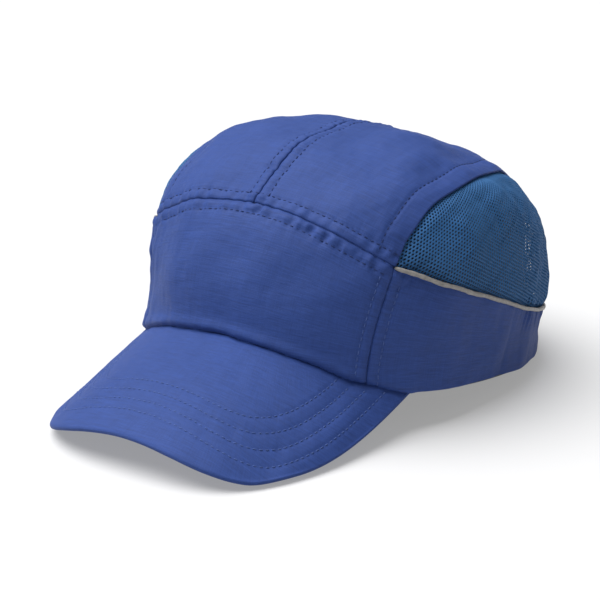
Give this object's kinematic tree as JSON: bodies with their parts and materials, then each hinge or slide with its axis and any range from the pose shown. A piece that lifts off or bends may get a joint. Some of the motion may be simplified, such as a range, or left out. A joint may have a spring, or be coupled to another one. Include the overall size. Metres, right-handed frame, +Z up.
{
  "type": "bump cap",
  "caption": "Baseball-style safety bump cap: cloth cover with mesh sides, piping and an arched visor over a removable vented shell with foam pads, and a hook-and-loop strap at the back.",
  "frame": {"origin": "centre of the bounding box, on the surface that the cap stands on", "axes": "+Z up; the visor points to -Y; +X is the wearer's left. The cap stands on the two front corners of its visor and the back of its band, so the band's plane tips back by 7.45 degrees"},
  "size_m": [0.1899, 0.2842, 0.1284],
  "materials": {
    "cotton_blue": "royal blue fine plain weave, faint sheen",
    "air_mesh": "dark teal-blue open air mesh with small oval holes",
    "reflective_piping": "silver-grey reflective cloth over a cord, satin",
    "visor_board": "moulded polyethylene board, matt",
    "stiffener": "open buckram, stiff and dry",
    "sweatband_terry": "dark navy brushed towelling",
    "seam_tape": "navy twill tape",
    "strap_cloth": "royal blue plain weave, doubled",
    "loop_pile": "black brushed loop pile",
    "hook_tape": "black moulded hook tape",
    "elastic": "ribbed white woven elastic",
    "label_cloth": "blank white satin tape",
    "shell_plastic": "black ABS, fine moulded texture, semi-gloss",
    "foam": "charcoal closed-cell EVA foam, dull"
  },
  "bodies": {
    "shell": {"shell": "shell_plastic", "shell_tabs": "hook_tape", "pad_brow": "foam", "pad_rear": "foam", "pad_left": "foam", "pad_right": "foam", "pad_crown": "foam"},
    "cover": {"front_panel": "cotton_blue", "crown_panel_left": "cotton_blue", "crown_panel_right": "cotton_blue", "side_band_left": "cotton_blue", "side_band_right": "cotton_blue", "visor_cover_top": "cotton_blue", "visor_cover_under": "cotton_blue", "side_mesh_left": "air_mesh", "side_mesh_right": "air_mesh", "piping_left": "reflective_piping", "piping_right": "reflective_piping", "visor_board": "visor_board", "front_stiffener": "stiffener", "sweatband": "sweatband_terry", "seam_tape_front": "seam_tape", "seam_tape_centre": "seam_tape", "seam_tape_left": "seam_tape", "seam_tape_right": "seam_tape", "opening_binding": "seam_tape", "loop_strap": "strap_cloth", "loop_pile": "loop_pile", "cover_tabs": "loop_pile", "band_elastic_left": "elastic", "band_elastic_right": "elastic", "care_label": "label_cloth"},
    "strap": {"hook_strap": "strap_cloth", "hook_patch": "hook_tape"}
  },
  "joints": [
    {"name": "cover_lift", "type": "slide", "parent": "shell", "child": "cover", "axis": [0, 0.1297, 0.9916], "range_m": [0, 0.06]},
    {"name": "strap_adjust", "type": "hinge", "parent": "cover", "child": "strap", "pos_m": [0, 0.05304, 0.02303], "axis": [0, -0.1297, -0.9916], "range_deg": [-4, 8]}
  ]
}
